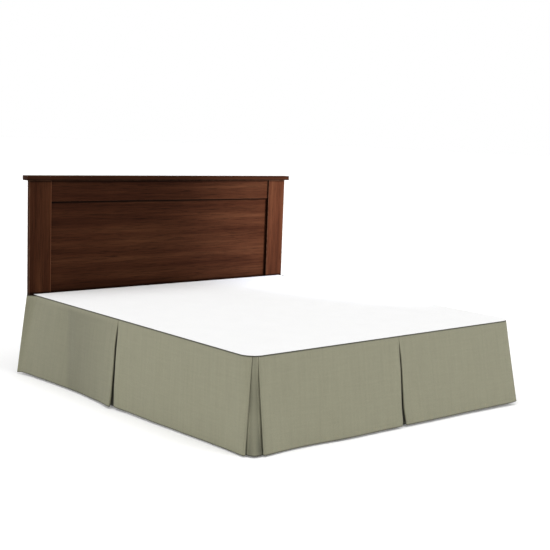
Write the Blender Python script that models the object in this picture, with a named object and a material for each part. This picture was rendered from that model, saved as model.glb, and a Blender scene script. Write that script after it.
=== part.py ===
"""Tailored bed skirt on a plain king bed with a panelled headboard.

Metres, +Z up. The head of the bed is towards +Y and its foot towards -Y. The origin is
on the floor, under the middle of everything that is built.

The skirt is a flat deck sheet that lies on the box spring, six drop panels that hang
from its rim, and five underlays that close the inverted pleats from behind. Each drop
panel ends at a pleat in a fold, with its cloth turned back behind itself. The bed under
it is plain: a box spring on a rail frame with legs, and a headboard of two stiles, two
rails, a recessed panel and a cap.
"""

import math
from collections import namedtuple

import bmesh
import bpy

# ---------------------------------------------------------------- driving dimensions
BED_WIDTH = 1.93                # deck, side to side
BED_LENGTH = 2.03               # deck, head to foot
DECK_TOP = 0.470                # top of the deck sheet above the floor
CORNER_RADIUS = 0.075           # rounding of the two foot corners
PIECE_GAP = 0.0003              # between pieces that touch

# Skirt cloth
CLOTH = 0.002                   # thickness of every sheet
SEAM_GAP = 0.0006               # between the deck and the cloth sewn under its rim
DROP = 0.4625                   # every panel from its seam to its hem, along the cloth
STITCHED = 0.026                # the pleats are sewn shut this far below the seam
RETURN = 0.065                  # cloth turned back behind a pleat's edge
FOLD_SEAM = 0.003               # from a panel to its return, middle to middle, at the seam
FOLD_HEM = 0.010                # the same at the hem, where the fold relaxes
UNDERLAY_HALF = 0.080           # half the width of an underlay behind a straight pleat
CORNER_HALF = 0.120             # half the width of an underlay behind a corner pleat
CORNER_HANG = 1.9               # how late on its way down a corner underlay comes forward
CORNER_OPENING = 0.026          # between two panels' edges at the seam of a corner pleat
EDGE_CLEARANCE = 0.0026         # draped cloth stays this far from the box spring

# Where the pleats are: along each side from its head or left end, at the seam and at the
# hem, and round each corner from the end of its side
SIDE_PLEAT = 0.934
SIDE_PLEAT_HEM = 0.985          # the side pleats lean towards the foot on their way down
FOOT_PLEAT = 0.985
FOOT_PLEAT_HEM = 0.990
LEFT_CORNER_PLEAT = math.radians(62)
RIGHT_CORNER_PLEAT = math.radians(45)

# The free head end of each side turns outwards, in front of the headboard
HEAD_TURN = 0.050               # length that turns
HEAD_TURN_OUT = 0.047           # how far its end stands out at the top

# Mesh density of the cloth
DROP_ROWS = 10                  # from seam to hem
STRAIGHT_COLUMNS = 13           # along the straight stretch of a panel
CORNER_STEP = math.radians(14)  # of turn for each column on a rounded corner
FOLD_STEPS = 5                  # round a half-turn fold
RETURN_COLUMNS = 4
HEAD_COLUMNS = 5                # along the turned head end of a side
UNDERLAY_COLUMNS = 6
CORNER_UNDERLAY_COLUMNS = 14

# Box spring and its frame
BOX_HEIGHT = 0.229
BOX_ROUND = 0.006               # rounding of the box spring's long edges
BOX_HEAD_GAP = 0.005            # box spring short of the deck's head edge
RAIL_WIDTH = 0.030
RAIL_HEIGHT = 0.070
RAIL_INSET = 0.030              # frame in from the box spring's sides
LEG_SIZE = 0.050
FRAME_ROUND = 0.002

# Headboard
HEADBOARD_GAP = 0.006           # between the deck's head edge and the stiles' faces
HEADBOARD_WIDTH = 1.986         # over the stiles
STILE_WIDTH = 0.144
STILE_DEPTH = 0.026
TOP_RAIL_HEIGHT = 0.128
BOTTOM_RAIL_HEIGHT = 0.120
BOTTOM_RAIL_TOP = 0.440
RAIL_SETBACK = 0.012            # rails behind the stiles' faces
PANEL_THICKNESS = 0.008
PANEL_MARGIN = 0.020            # panel in from the stiles' outer edges
PANEL_BOTTOM = 0.330
CAP_UNDERSIDE = 1.146
CAP_THICKNESS = 0.028
CAP_SIDE_OVERHANG = 0.026
CAP_FRONT_OVERHANG = 0.018
CAP_BACK_OVERHANG = 0.004       # behind the panel's back
WOOD_ROUND = 0.002

# ------------------------------------------------------------------- derived places
HALF_WIDTH = BED_WIDTH / 2
HALF_LENGTH = BED_LENGTH / 2
SEAM_HEIGHT = DECK_TOP - CLOTH - SEAM_GAP
FRONT_OUT = -CLOTH / 2                      # middle of a panel's cloth at its seam
RETURN_OUT = FRONT_OUT - FOLD_SEAM
UNDERLAY_OUT = RETURN_OUT - FOLD_SEAM
BOX_INSET = -UNDERLAY_OUT + CLOTH / 2 + EDGE_CLEARANCE
PLEAT_EDGE = FOLD_SEAM / 2 + CLOTH / 2 + PIECE_GAP      # pleat line to the last flat cloth
CLOTH_RADIUS = CORNER_RADIUS - CLOTH / 2                # of the cloth's middle at a corner
EDGE_TURN = (CORNER_OPENING / 2 + PLEAT_EDGE) / CLOTH_RADIUS    # pleat to last flat cloth
BOX_TOP = DECK_TOP - CLOTH - PIECE_GAP
BOX_BOTTOM = BOX_TOP - BOX_HEIGHT
STILE_FACE = HALF_LENGTH + HEADBOARD_GAP
STILE_BACK = STILE_FACE + STILE_DEPTH
PANEL_BACK = STILE_BACK + PIECE_GAP + PANEL_THICKNESS
CAP_BACK = PANEL_BACK + CAP_BACK_OVERHANG


def past_side(turn):
    """From the deck's square corner, along the side, to cloth at a turn round the rounded
    corner. Turns start at the side's end."""
    return CORNER_RADIUS - CLOTH_RADIUS * math.sin(turn)


def past_foot(turn):
    """The same along the foot."""
    return CORNER_RADIUS - CLOTH_RADIUS * math.cos(turn)


# A panel hangs from `seam_from` to `seam_to` along its side, and its hem runs from
# `hem_from` to `hem_to`. `waves` shapes it: at a share of its width, how far the hem
# stands out from the deck's edge, and how much the cloth bellies out on its way down.
Wave = namedtuple("Wave", "share flare belly")
Panel = namedtuple("Panel", "side seam_from seam_to hem_from hem_to waves folds")

HEAD_HALF = Panel(
    "side", 0.0, SIDE_PLEAT - PLEAT_EDGE, 0.003, 0.969,
    (Wave(0.00, 0.108, 0.00),
     Wave(0.03, 0.096, 0.10),
     Wave(0.10, 0.083, 0.20),
     Wave(0.22, 0.073, 0.20),
     Wave(0.48, 0.057, 0.15),
     Wave(0.62, 0.053, 0.15),
     Wave(0.76, 0.056, 0.18),
     Wave(0.90, 0.066, 0.25),
     Wave(1.00, 0.075, 0.32)),
    "end")
LEFT_FOOT_HALF = Panel(
    "side", SIDE_PLEAT + PLEAT_EDGE, BED_LENGTH - past_side(LEFT_CORNER_PLEAT - EDGE_TURN),
    1.000, 2.021,
    (Wave(0.00, 0.057, 0.10),
     Wave(0.04, 0.060, 0.15),
     Wave(0.13, 0.051, 0.18),
     Wave(0.34, 0.043, 0.15),
     Wave(0.52, 0.032, 0.12),
     Wave(0.70, 0.020, 0.12),
     Wave(0.87, 0.015, 0.08),
     Wave(1.00, 0.013, 0.00)),
    "both")
RIGHT_FOOT_HALF = LEFT_FOOT_HALF._replace(
    seam_to=BED_LENGTH - past_side(RIGHT_CORNER_PLEAT - EDGE_TURN), hem_to=2.020,
    waves=(Wave(0.00, 0.057, 0.10),
           Wave(0.04, 0.060, 0.15),
           Wave(0.13, 0.052, 0.18),
           Wave(0.34, 0.046, 0.15),
           Wave(0.60, 0.044, 0.12),
           Wave(0.80, 0.048, 0.10),
           Wave(1.00, 0.054, 0.00)))
FOOT_LEFT = Panel(
    "foot", past_foot(LEFT_CORNER_PLEAT + EDGE_TURN), FOOT_PLEAT - PLEAT_EDGE, 0.072, 0.969,
    (Wave(0.00, 0.048, 0.00),
     Wave(0.07, 0.043, 0.06),
     Wave(0.18, 0.038, 0.10),
     Wave(0.30, 0.041, 0.12),
     Wave(0.45, 0.053, 0.12),
     Wave(0.60, 0.065, 0.12),
     Wave(0.82, 0.070, 0.15),
     Wave(0.95, 0.074, 0.12),
     Wave(1.00, 0.072, 0.10)),
    "both")
FOOT_RIGHT = Panel(
    "foot", FOOT_PLEAT + PLEAT_EDGE, BED_WIDTH - past_foot(RIGHT_CORNER_PLEAT + EDGE_TURN),
    1.011, 1.885,
    (Wave(0.00, 0.074, 0.10),
     Wave(0.18, 0.078, 0.12),
     Wave(0.35, 0.080, 0.12),
     Wave(0.56, 0.085, 0.12),
     Wave(0.80, 0.093, 0.10),
     Wave(0.92, 0.101, 0.06),
     Wave(1.00, 0.104, 0.00)),
    "both")

# Hem of the underlay behind a straight pleat: how far it stands out from the deck's edge
UnderlayHem = namedtuple("UnderlayHem", "share flare")
SIDE_UNDERLAY = (UnderlayHem(0.00, 0.044), UnderlayHem(0.36, 0.042),
                 UnderlayHem(0.55, 0.030), UnderlayHem(1.00, 0.024))
FOOT_UNDERLAY = (UnderlayHem(0.00, 0.045), UnderlayHem(0.35, 0.046),
                 UnderlayHem(0.65, 0.047), UnderlayHem(1.00, 0.048))

# Hem of a corner underlay: how far it stands out beyond the side and beyond the foot.
# It comes forward to a soft ridge in the middle of its pleat.
CornerHem = namedtuple("CornerHem", "share beyond_side beyond_foot")
LEFT_CORNER_UNDERLAY = (CornerHem(0.00, -0.005, -0.090),
                        CornerHem(0.30, -0.006, -0.020),
                        CornerHem(0.41, -0.008, 0.006),
                        CornerHem(0.48, -0.014, 0.022),
                        CornerHem(0.54, -0.023, 0.033),
                        CornerHem(0.60, -0.036, 0.036),
                        CornerHem(0.67, -0.053, 0.034),
                        CornerHem(0.77, -0.076, 0.030),
                        CornerHem(1.00, -0.130, 0.026))
RIGHT_CORNER_UNDERLAY = (CornerHem(0.00, 0.030, -0.068),
                         CornerHem(0.25, 0.030, -0.008),
                         CornerHem(0.39, 0.025, 0.024),
                         CornerHem(0.49, 0.010, 0.046),
                         CornerHem(0.58, -0.010, 0.060),
                         CornerHem(0.68, -0.034, 0.064),
                         CornerHem(0.80, -0.063, 0.064),
                         CornerHem(1.00, -0.112, 0.064))

# Colours as (red, green, blue), with roughness and metallic
Finish = namedtuple("Finish", "colour roughness metallic")
FACE_CLOTH = Finish((0.262, 0.255, 0.178), 0.90, 0.0)
DECK_CLOTH = Finish((0.880, 0.880, 0.880), 0.90, 0.0)
WALNUT = Finish((0.055, 0.018, 0.009), 0.42, 0.0)
TICKING = Finish((0.780, 0.760, 0.710), 0.90, 0.0)
FRAME_PAINT = Finish((0.030, 0.026, 0.024), 0.50, 0.0)


# ------------------------------------------------------------------------ tools
def remove_everything():
    for old in list(bpy.data.objects):
        bpy.data.objects.remove(old, do_unlink=True)


def make_material(name, finish):
    material = bpy.data.materials.new(name)
    material.use_nodes = True
    shader = material.node_tree.nodes["Principled BSDF"]
    shader.inputs["Base Color"].default_value = (*finish.colour, 1.0)
    shader.inputs["Roughness"].default_value = finish.roughness
    shader.inputs["Metallic"].default_value = finish.metallic
    material.diffuse_color = (*finish.colour, 1.0)
    return material


def add_object(name, mesh, finish, parent):
    thing = bpy.data.objects.new(name, mesh)
    bpy.context.scene.collection.objects.link(thing)
    mesh.materials.append(make_material(name + "_finish", finish))
    thing.parent = parent
    return thing


def mix(first, second, share):
    return first + (second - first) * share


def smooth_row(rows, share):
    """The values after `share` in a table, on a smooth curve through its rows."""
    last = len(rows) - 1
    index = max(i for i in range(last) if i == 0 or rows[i].share <= share)
    here, there = rows[index], rows[index + 1]
    before, after = rows[max(index - 1, 0)], rows[min(index + 2, last)]
    span = there.share - here.share
    t = (share - here.share) / span
    values = []
    for column in range(1, len(here)):
        slope_here = (there[column] - before[column]) / (there.share - before.share) * span
        slope_there = (after[column] - here[column]) / (after.share - here.share) * span
        values.append((2 * t**3 - 3 * t**2 + 1) * here[column]
                      + (t**3 - 2 * t**2 + t) * slope_here
                      + (3 * t**2 - 2 * t**3) * there[column]
                      + (t**3 - t**2) * slope_there)
    return values


def seam_inset(distance):
    """How far the middle of a panel's cloth lies inside the deck's edge at its seam, at a
    distance from the deck's square corner along that edge."""
    if distance >= CORNER_RADIUS:
        return CLOTH / 2
    reach = CORNER_RADIUS - distance
    return CORNER_RADIUS - math.sqrt(CLOTH_RADIUS**2 - reach**2)


def turned_out(place):
    """How far the free head end of a side stands out at its top."""
    return HEAD_TURN_OUT * max(0.0, 1 - place / HEAD_TURN) ** 2


def fold_depth(down):
    return mix(FOLD_SEAM, FOLD_HEM, down)


def opened(down):
    """How far a pleat has opened: shut along its stitches, full at the hem."""
    return max(0.0, down - STITCHED / DROP) / (1 - STITCHED / DROP)


# ------------------------------------------------------------------ shape of the cloth
def panel_plan(panel, share, down):
    """Middle of the cloth in plan, as (along its side, out from the deck's edge), and the
    plan distance from seam to hem. `down` runs from 0 at the seam to 1 at the hem."""
    seam = mix(panel.seam_from, panel.seam_to, share)
    hem = mix(panel.hem_from, panel.hem_to, share)
    flare, belly = smooth_row(panel.waves, share)
    if panel.side == "side":
        seam_out = turned_out(seam) - seam_inset(BED_LENGTH - seam)
    else:
        seam_out = -seam_inset(min(seam, BED_WIDTH - seam))
    hem_out = flare + FRONT_OUT
    along = mix(seam, hem, opened(down))
    out = mix(seam_out, hem_out, down + belly * down * (1 - down))
    return along, out, math.hypot(hem - seam, hem_out - seam_out)


def cloth_height(reach, down):
    """Height of cloth whose hem lies `reach` outside its seam in plan."""
    return SEAM_HEIGHT - down * math.sqrt(DROP**2 - reach**2)


def plan_directions(panel, share, down):
    """Unit vectors in plan along the panel and out of it."""
    step = 0.002
    low, high = max(share - step, 0.0), min(share + step, 1.0)
    start, end = panel_plan(panel, low, down), panel_plan(panel, high, down)
    run, rise = end[0] - start[0], end[1] - start[1]
    length = math.hypot(run, rise)
    return (run / length, rise / length), (-rise / length, run / length)


def corner_places(distance):
    """Distances from a square corner, from `distance` almost to the straight stretch, at
    which a panel has a column, evenly spaced round the rounded corner."""
    if distance >= CORNER_RADIUS:
        return []
    turn = math.asin((CORNER_RADIUS - distance) / CLOTH_RADIUS)
    count = math.ceil(turn / CORNER_STEP)
    return [CORNER_RADIUS - CLOTH_RADIUS * math.sin(turn * (1 - i / count))
            for i in range(count)]


def panel_shares(panel):
    """Shares of a panel's width at which it has a column, closer on a rounded corner."""
    length = BED_LENGTH if panel.side == "side" else BED_WIDTH
    start = corner_places(panel.seam_from) if panel.side == "foot" else []
    end = corner_places(length - panel.seam_to)
    straight_from = CORNER_RADIUS if start else panel.seam_from
    straight_to = length - CORNER_RADIUS if end else panel.seam_to
    places = start + [mix(straight_from, straight_to, i / STRAIGHT_COLUMNS)
                      for i in range(STRAIGHT_COLUMNS + 1)]
    places += [length - distance for distance in reversed(end)]
    if panel.folds == "end":
        places = sorted(places + [HEAD_TURN * i / HEAD_COLUMNS
                                  for i in range(1, HEAD_COLUMNS + 1)])
    width = panel.seam_to - panel.seam_from
    return [min(max((place - panel.seam_from) / width, 0.0), 1.0) for place in places]


def fold_and_return(panel, share, inward, down):
    """Points from a pleat's edge round its fold and back behind the panel. `inward` is +1
    where the panel continues towards higher shares, and -1 where it ends."""
    depth = fold_depth(down)
    along, out, reach = panel_plan(panel, share, down)
    tangent, normal = plan_directions(panel, share, down)
    points = []
    for step in range(1, FOLD_STEPS + 1):
        turn = math.pi * step / FOLD_STEPS
        back = depth / 2 * (1 - math.cos(turn))
        beyond = -inward * depth / 2 * math.sin(turn)
        points.append((along - normal[0] * back + tangent[0] * beyond,
                       out - normal[1] * back + tangent[1] * beyond, reach))
    width = panel.seam_to - panel.seam_from
    for step in range(1, RETURN_COLUMNS + 1):
        place = share + inward * RETURN * step / RETURN_COLUMNS / width
        along, out, reach = panel_plan(panel, place, down)
        _, normal = plan_directions(panel, place, down)
        points.append((along - normal[0] * depth, out - normal[1] * depth, reach))
    return points


def panel_row(panel, down):
    """One level line of a panel: return, fold, front, fold and return."""
    row = [panel_plan(panel, share, down) for share in panel_shares(panel)]
    if panel.folds == "both":
        row = fold_and_return(panel, 0.0, 1, down)[::-1] + row
    row += fold_and_return(panel, 1.0, -1, down)
    return [(along, out, cloth_height(reach, down)) for along, out, reach in row]


def underlay_row(pleat, hem_pleat, hem_rows, down):
    """One level line of the flat underlay behind a straight pleat."""
    row = []
    for column in range(UNDERLAY_COLUMNS + 1):
        share = column / UNDERLAY_COLUMNS
        along = mix(pleat, hem_pleat, opened(down)) + UNDERLAY_HALF * (2 * share - 1)
        hem_out = smooth_row(hem_rows, share)[0] - CLOTH / 2
        out = mix(UNDERLAY_OUT, hem_out, down)
        row.append((along, out, cloth_height(hem_out - UNDERLAY_OUT, down)))
    return row


def corner_seam(distance):
    """Corner underlay at its seam, as (beyond the side, beyond the foot), at a distance
    from the middle of the corner: an arc with a straight stretch at each end."""
    radius = CORNER_RADIUS + UNDERLAY_OUT
    quarter = radius * math.pi / 4
    turn = math.pi / 4 + max(-quarter, min(quarter, distance)) / radius
    straight = max(abs(distance) - quarter, 0.0)
    beyond_side = -CORNER_RADIUS + radius * math.cos(turn)
    beyond_foot = -CORNER_RADIUS + radius * math.sin(turn)
    if distance < 0:
        beyond_foot -= straight
    else:
        beyond_side -= straight
    return beyond_side, beyond_foot


def corner_row(hem_rows, down):
    """One level line of a corner underlay, as (beyond side, beyond foot, height)."""
    row = []
    for column in range(CORNER_UNDERLAY_COLUMNS + 1):
        share = column / CORNER_UNDERLAY_COLUMNS
        seam = corner_seam(CORNER_HALF * (2 * share - 1))
        hem = smooth_row(hem_rows, share)
        reach = math.hypot(hem[0] - seam[0], hem[1] - seam[1])
        forward = down ** CORNER_HANG
        row.append((mix(seam[0], hem[0], forward), mix(seam[1], hem[1], forward),
                    cloth_height(reach, down)))
    return row


# ------------------------------------------------------------------- from side to bed
def on_left(along, out, height):
    return (-HALF_WIDTH - out, HALF_LENGTH - along, height)


def on_right(along, out, height):
    return (HALF_WIDTH + out, HALF_LENGTH - along, height)


def on_foot(along, out, height):
    return (-HALF_WIDTH + along, -HALF_LENGTH - out, height)


def at_left_corner(beyond_side, beyond_foot, height):
    return (-HALF_WIDTH - beyond_side, -HALF_LENGTH - beyond_foot, height)


def at_right_corner(beyond_side, beyond_foot, height):
    return (HALF_WIDTH + beyond_side, -HALF_LENGTH - beyond_foot, height)


def add_sheet(name, row_at, place, finish, parent):
    """A hanging sheet through the level lines of `row_at`, given the cloth's thickness."""
    shell = bmesh.new()
    grid = []
    for level in range(DROP_ROWS + 1):
        row = row_at(level / DROP_ROWS)
        grid.append([shell.verts.new(place(*point)) for point in row])
    for upper, lower in zip(grid, grid[1:]):
        for a, b, c, d in zip(upper, upper[1:], lower[1:], lower):
            shell.faces.new((a, b, c, d))
    bmesh.ops.recalc_face_normals(shell, faces=shell.faces)
    mesh = bpy.data.meshes.new(name)
    shell.to_mesh(mesh)
    shell.free()
    mesh.shade_smooth()
    sheet = add_object(name, mesh, finish, parent)
    solidify = sheet.modifiers.new("cloth thickness", "SOLIDIFY")
    solidify.thickness = CLOTH
    solidify.offset = 0.0
    solidify.use_even_offset = True
    return sheet


def foot_rounded_outline(inset, radius, head):
    """Corners of a bed-shaped outline, its two foot corners rounded, head end at `head`."""
    half_width = HALF_WIDTH - inset
    foot = -HALF_LENGTH + inset
    steps = 8
    points = [(half_width, head), (-half_width, head)]
    for step in range(steps + 1):
        turn = math.pi * (1 + 0.5 * step / steps)
        points.append((-half_width + radius + radius * math.cos(turn),
                       foot + radius + radius * math.sin(turn)))
    for step in range(steps + 1):
        turn = math.pi * (1.5 + 0.5 * step / steps)
        points.append((half_width - radius + radius * math.cos(turn),
                       foot + radius + radius * math.sin(turn)))
    return points


def add_slab(name, outline, bottom, top, finish, parent, rounding=0.0):
    """A flat-topped slab of any outline."""
    body = bmesh.new()
    base = body.faces.new([body.verts.new((x, y, bottom)) for x, y in outline])
    lifted = bmesh.ops.extrude_face_region(body, geom=[base])
    corners = [part for part in lifted["geom"] if isinstance(part, bmesh.types.BMVert)]
    bmesh.ops.translate(body, verts=corners, vec=(0, 0, top - bottom))
    bmesh.ops.recalc_face_normals(body, faces=body.faces)
    mesh = bpy.data.meshes.new(name)
    body.to_mesh(mesh)
    body.free()
    slab = add_object(name, mesh, finish, parent)
    if rounding:
        soften = slab.modifiers.new("rounded edges", "BEVEL")
        soften.width = rounding
        soften.segments = 2
        soften.limit_method = "ANGLE"
        soften.angle_limit = math.radians(50)
    return slab


def add_block(name, low, high, finish, parent, rounding):
    """A straight piece between two opposite corners."""
    outline = [(low[0], low[1]), (high[0], low[1]), (high[0], high[1]), (low[0], high[1])]
    return add_slab(name, outline, low[2], high[2], finish, parent, rounding)


# --------------------------------------------------------------------------- pieces
def build_skirt(parent):
    outline = foot_rounded_outline(0.0, CORNER_RADIUS, HALF_LENGTH)
    add_slab("deck_sheet", outline, DECK_TOP - CLOTH, DECK_TOP, DECK_CLOTH, parent)
    panels = (("drop_left_head", HEAD_HALF, on_left),
              ("drop_left_foot", LEFT_FOOT_HALF, on_left),
              ("drop_foot_left", FOOT_LEFT, on_foot),
              ("drop_foot_right", FOOT_RIGHT, on_foot),
              ("drop_right_foot", RIGHT_FOOT_HALF, on_right),
              ("drop_right_head", HEAD_HALF, on_right))
    for name, panel, place in panels:
        add_sheet(name, lambda down, p=panel: panel_row(p, down), place, FACE_CLOTH, parent)
    underlays = (("underlay_left", SIDE_PLEAT, SIDE_PLEAT_HEM, SIDE_UNDERLAY, on_left),
                 ("underlay_foot", FOOT_PLEAT, FOOT_PLEAT_HEM, FOOT_UNDERLAY, on_foot),
                 ("underlay_right", SIDE_PLEAT, SIDE_PLEAT_HEM, SIDE_UNDERLAY, on_right))
    for name, pleat, hem_pleat, hem_rows, place in underlays:
        add_sheet(name, lambda down, p=pleat, e=hem_pleat, h=hem_rows:
                  underlay_row(p, e, h, down), place, FACE_CLOTH, parent)
    corners = (("underlay_corner_left", LEFT_CORNER_UNDERLAY, at_left_corner),
               ("underlay_corner_right", RIGHT_CORNER_UNDERLAY, at_right_corner))
    for name, hem_rows, place in corners:
        add_sheet(name, lambda down, h=hem_rows: corner_row(h, down),
                  place, FACE_CLOTH, parent)


def build_bed(parent):
    outline = foot_rounded_outline(BOX_INSET, CORNER_RADIUS - BOX_INSET,
                                   HALF_LENGTH - BOX_HEAD_GAP)
    add_slab("box_spring", outline, BOX_BOTTOM, BOX_TOP, TICKING, parent, BOX_ROUND)

    rail_top = BOX_BOTTOM - PIECE_GAP
    rail_bottom = rail_top - RAIL_HEIGHT
    rail_outer = HALF_WIDTH - BOX_INSET - RAIL_INSET
    rail_inner = rail_outer - RAIL_WIDTH
    frame_foot = -HALF_LENGTH + BOX_INSET + CORNER_RADIUS
    for side, sign in (("left", -1), ("right", 1)):
        edges = sorted((sign * rail_inner, sign * rail_outer))
        add_block("frame_rail_" + side, (edges[0], frame_foot, rail_bottom),
                  (edges[1], STILE_FACE - PIECE_GAP, rail_top), FRAME_PAINT, parent, FRAME_ROUND)

    cross_half = rail_inner - PIECE_GAP
    frame_head = HALF_LENGTH - BOX_HEAD_GAP - LEG_SIZE
    middle = (frame_foot + frame_head) / 2
    crossings = (("head", frame_head), ("middle", middle), ("foot", frame_foot + LEG_SIZE))
    for place, y in crossings:
        add_block("frame_cross_" + place, (-cross_half, y - RAIL_WIDTH / 2, rail_bottom),
                  (cross_half, y + RAIL_WIDTH / 2, rail_top), FRAME_PAINT, parent, FRAME_ROUND)

    leg_top = rail_bottom - PIECE_GAP
    leg_side = (rail_inner + rail_outer) / 2
    legs = [("leg_head_left", -leg_side, frame_head), ("leg_head_right", leg_side, frame_head),
            ("leg_middle", 0.0, middle),
            ("leg_foot_left", -leg_side, frame_foot + LEG_SIZE),
            ("leg_foot_right", leg_side, frame_foot + LEG_SIZE)]
    for name, x, y in legs:
        add_block(name, (x - LEG_SIZE / 2, y - LEG_SIZE / 2, 0.0),
                  (x + LEG_SIZE / 2, y + LEG_SIZE / 2, leg_top),
                  FRAME_PAINT, parent, FRAME_ROUND)


def build_headboard(parent):
    outer = HEADBOARD_WIDTH / 2
    inner = outer - STILE_WIDTH
    stile_top = CAP_UNDERSIDE - PIECE_GAP
    for side, sign in (("left", -1), ("right", 1)):
        edges = sorted((sign * inner, sign * outer))
        add_block("headboard_stile_" + side, (edges[0], STILE_FACE, 0.0),
                  (edges[1], STILE_BACK, stile_top), WALNUT, parent, WOOD_ROUND)

    rail_half = inner - PIECE_GAP
    rail_face = STILE_FACE + RAIL_SETBACK
    for name, bottom, top in (
            ("headboard_top_rail", CAP_UNDERSIDE - TOP_RAIL_HEIGHT, stile_top),
            ("headboard_bottom_rail", BOTTOM_RAIL_TOP - BOTTOM_RAIL_HEIGHT, BOTTOM_RAIL_TOP)):
        add_block(name, (-rail_half, rail_face, bottom), (rail_half, STILE_BACK, top),
                  WALNUT, parent, WOOD_ROUND)

    add_block("headboard_panel", (-outer + PANEL_MARGIN, STILE_BACK + PIECE_GAP, PANEL_BOTTOM),
              (outer - PANEL_MARGIN, PANEL_BACK, stile_top), WALNUT, parent, WOOD_ROUND / 2)
    add_block("headboard_cap",
              (-outer - CAP_SIDE_OVERHANG, STILE_FACE - CAP_FRONT_OVERHANG, CAP_UNDERSIDE),
              (outer + CAP_SIDE_OVERHANG, CAP_BACK, CAP_UNDERSIDE + CAP_THICKNESS),
              WALNUT, parent, WOOD_ROUND)


def main():
    remove_everything()
    foot_reach = HALF_LENGTH + max(smooth_row(panel.waves, share)[0]
                                   for panel in (FOOT_LEFT, FOOT_RIGHT)
                                   for share in panel_shares(panel))
    centre = bpy.data.objects.new("bed_centre", None)
    bpy.context.scene.collection.objects.link(centre)
    centre.location.y = (foot_reach - CAP_BACK) / 2
    build_skirt(centre)
    build_bed(centre)
    build_headboard(centre)


main()
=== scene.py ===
"""Looks of a tailored bed skirt on a plain king bed with a panelled headboard.

Metres, +Z up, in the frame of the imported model. The head of the bed is towards +Y.
The cloth is hung from the same measures as its solids, with finer folds, hems and
stitches. The wooden boards, the box spring and the frame get their edges and finishes.
"""

import math
from collections import namedtuple

import bmesh
import bpy
import numpy as np
from mathutils import Matrix, Vector


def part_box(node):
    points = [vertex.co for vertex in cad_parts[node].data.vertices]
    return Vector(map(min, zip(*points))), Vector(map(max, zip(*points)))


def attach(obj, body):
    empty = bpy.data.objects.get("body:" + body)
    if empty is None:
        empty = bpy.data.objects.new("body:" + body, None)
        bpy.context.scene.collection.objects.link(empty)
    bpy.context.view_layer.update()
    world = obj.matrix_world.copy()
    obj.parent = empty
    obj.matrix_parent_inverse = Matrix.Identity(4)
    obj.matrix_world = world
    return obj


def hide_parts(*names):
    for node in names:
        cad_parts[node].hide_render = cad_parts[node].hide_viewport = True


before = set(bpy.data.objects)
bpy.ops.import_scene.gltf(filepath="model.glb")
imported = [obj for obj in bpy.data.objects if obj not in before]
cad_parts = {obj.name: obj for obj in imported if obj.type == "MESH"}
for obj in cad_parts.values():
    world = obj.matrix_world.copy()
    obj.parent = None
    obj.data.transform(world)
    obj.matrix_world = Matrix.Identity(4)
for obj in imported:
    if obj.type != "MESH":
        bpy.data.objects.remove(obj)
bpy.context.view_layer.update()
scene = bpy.context.scene

# ---- sizes of the source
BED_WIDTH = 1.93
BED_LENGTH = 2.03
DECK_TOP = 0.47
CORNER_RADIUS = 0.075
CLOTH = 0.002
SEAM_GAP = 0.0006
DROP = 0.4625
STITCHED = 0.026  # the pleats are sewn shut this far below the seam
RETURN = 0.065
FOLD_SEAM = 0.003
FOLD_HEM = 0.01
UNDERLAY_HALF = 0.08
CORNER_HALF = 0.12
CORNER_HANG = 1.9
CORNER_OPENING = 0.026
PIECE_GAP = 0.0003
SIDE_PLEAT = 0.934
SIDE_PLEAT_HEM = 0.985
FOOT_PLEAT = 0.985
FOOT_PLEAT_HEM = 0.99
LEFT_CORNER_PLEAT = math.radians(62)
RIGHT_CORNER_PLEAT = math.radians(45)
HEAD_TURN = 0.05  # length of a side's head end that turns outwards
HEAD_TURN_OUT = 0.047

CORNER_WIDTH = 2 * CORNER_HALF
HALF_WIDTH = BED_WIDTH / 2
HALF_LENGTH = BED_LENGTH / 2
SEAM_HEIGHT = DECK_TOP - CLOTH - SEAM_GAP
FRONT_OUT = -CLOTH / 2
UNDERLAY_OUT = FRONT_OUT - 2 * FOLD_SEAM
PLEAT_EDGE = FOLD_SEAM / 2 + CLOTH / 2 + PIECE_GAP
CLOTH_RADIUS = CORNER_RADIUS - CLOTH / 2
EDGE_TURN = (CORNER_OPENING / 2 + PLEAT_EDGE) / CLOTH_RADIUS
deck_low, deck_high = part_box("deck_sheet")
CENTRE_Y = (deck_low.y + deck_high.y) / 2

# ---- finer cloth sizes
OUTSIDE = 0.001  # from the cloth's middle line to its face
INSIDE = 0.0006  # and to its back
HEM = 0.025  # height of the turned-up hem
HEM_INSIDE = 0.0014  # to its back where the hem doubles it
SIDE_HEM = 0.02  # width of the hem down the head end
EDGE_ROUND = 0.0012  # over which a free edge rounds off
EDGE_LEAST = 0.15  # share of its thickness that it keeps at the very edge
GROOVE = 0.00035  # depth of a stitch line
GROOVE_HALF = 0.0011
STITCH = 0.0035  # from one stitch to the next
SEAM_SHADE_REACH = 0.0088  # painted shade makes the cloth darker this close to its seam
HEM_SHADE_REACH = 0.0078  # and painted shade this close to its hem
ROW_STEP = 0.0095
COLUMN_STEP = 0.0125
COLUMN_TURN = math.radians(4)  # from column to column on the deck's round corners
FOLD_STEPS = 10
RETURN_COLUMNS = 7
INSERT_COLUMNS = 20
CORNER_COLUMNS = (17, 15, 16)  # of a corner insert, before its pleat, in it and after
CLOSE_COLUMNS = 13  # and by each side of its pleat, with their step
CLOSE_STEP = 0.0004
PLEAT_SEARCH = (0.25, 0.90, 326)  # shares of a corner insert where its pleat may be

# Camera of the photograph, from its fitted view: place, turn and lens
CAMERA_AT = (-3.9384, -4.5843 + CENTRE_Y, 1.4731)
CAMERA_YAW, CAMERA_PITCH, CAMERA_ROLL = 41.013, -7.691, 2.137
CAMERA_FOCAL = 1050.6  # in the photograph's pixels
PHOTO_SIDE = 550
SENSOR = 36.0

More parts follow.
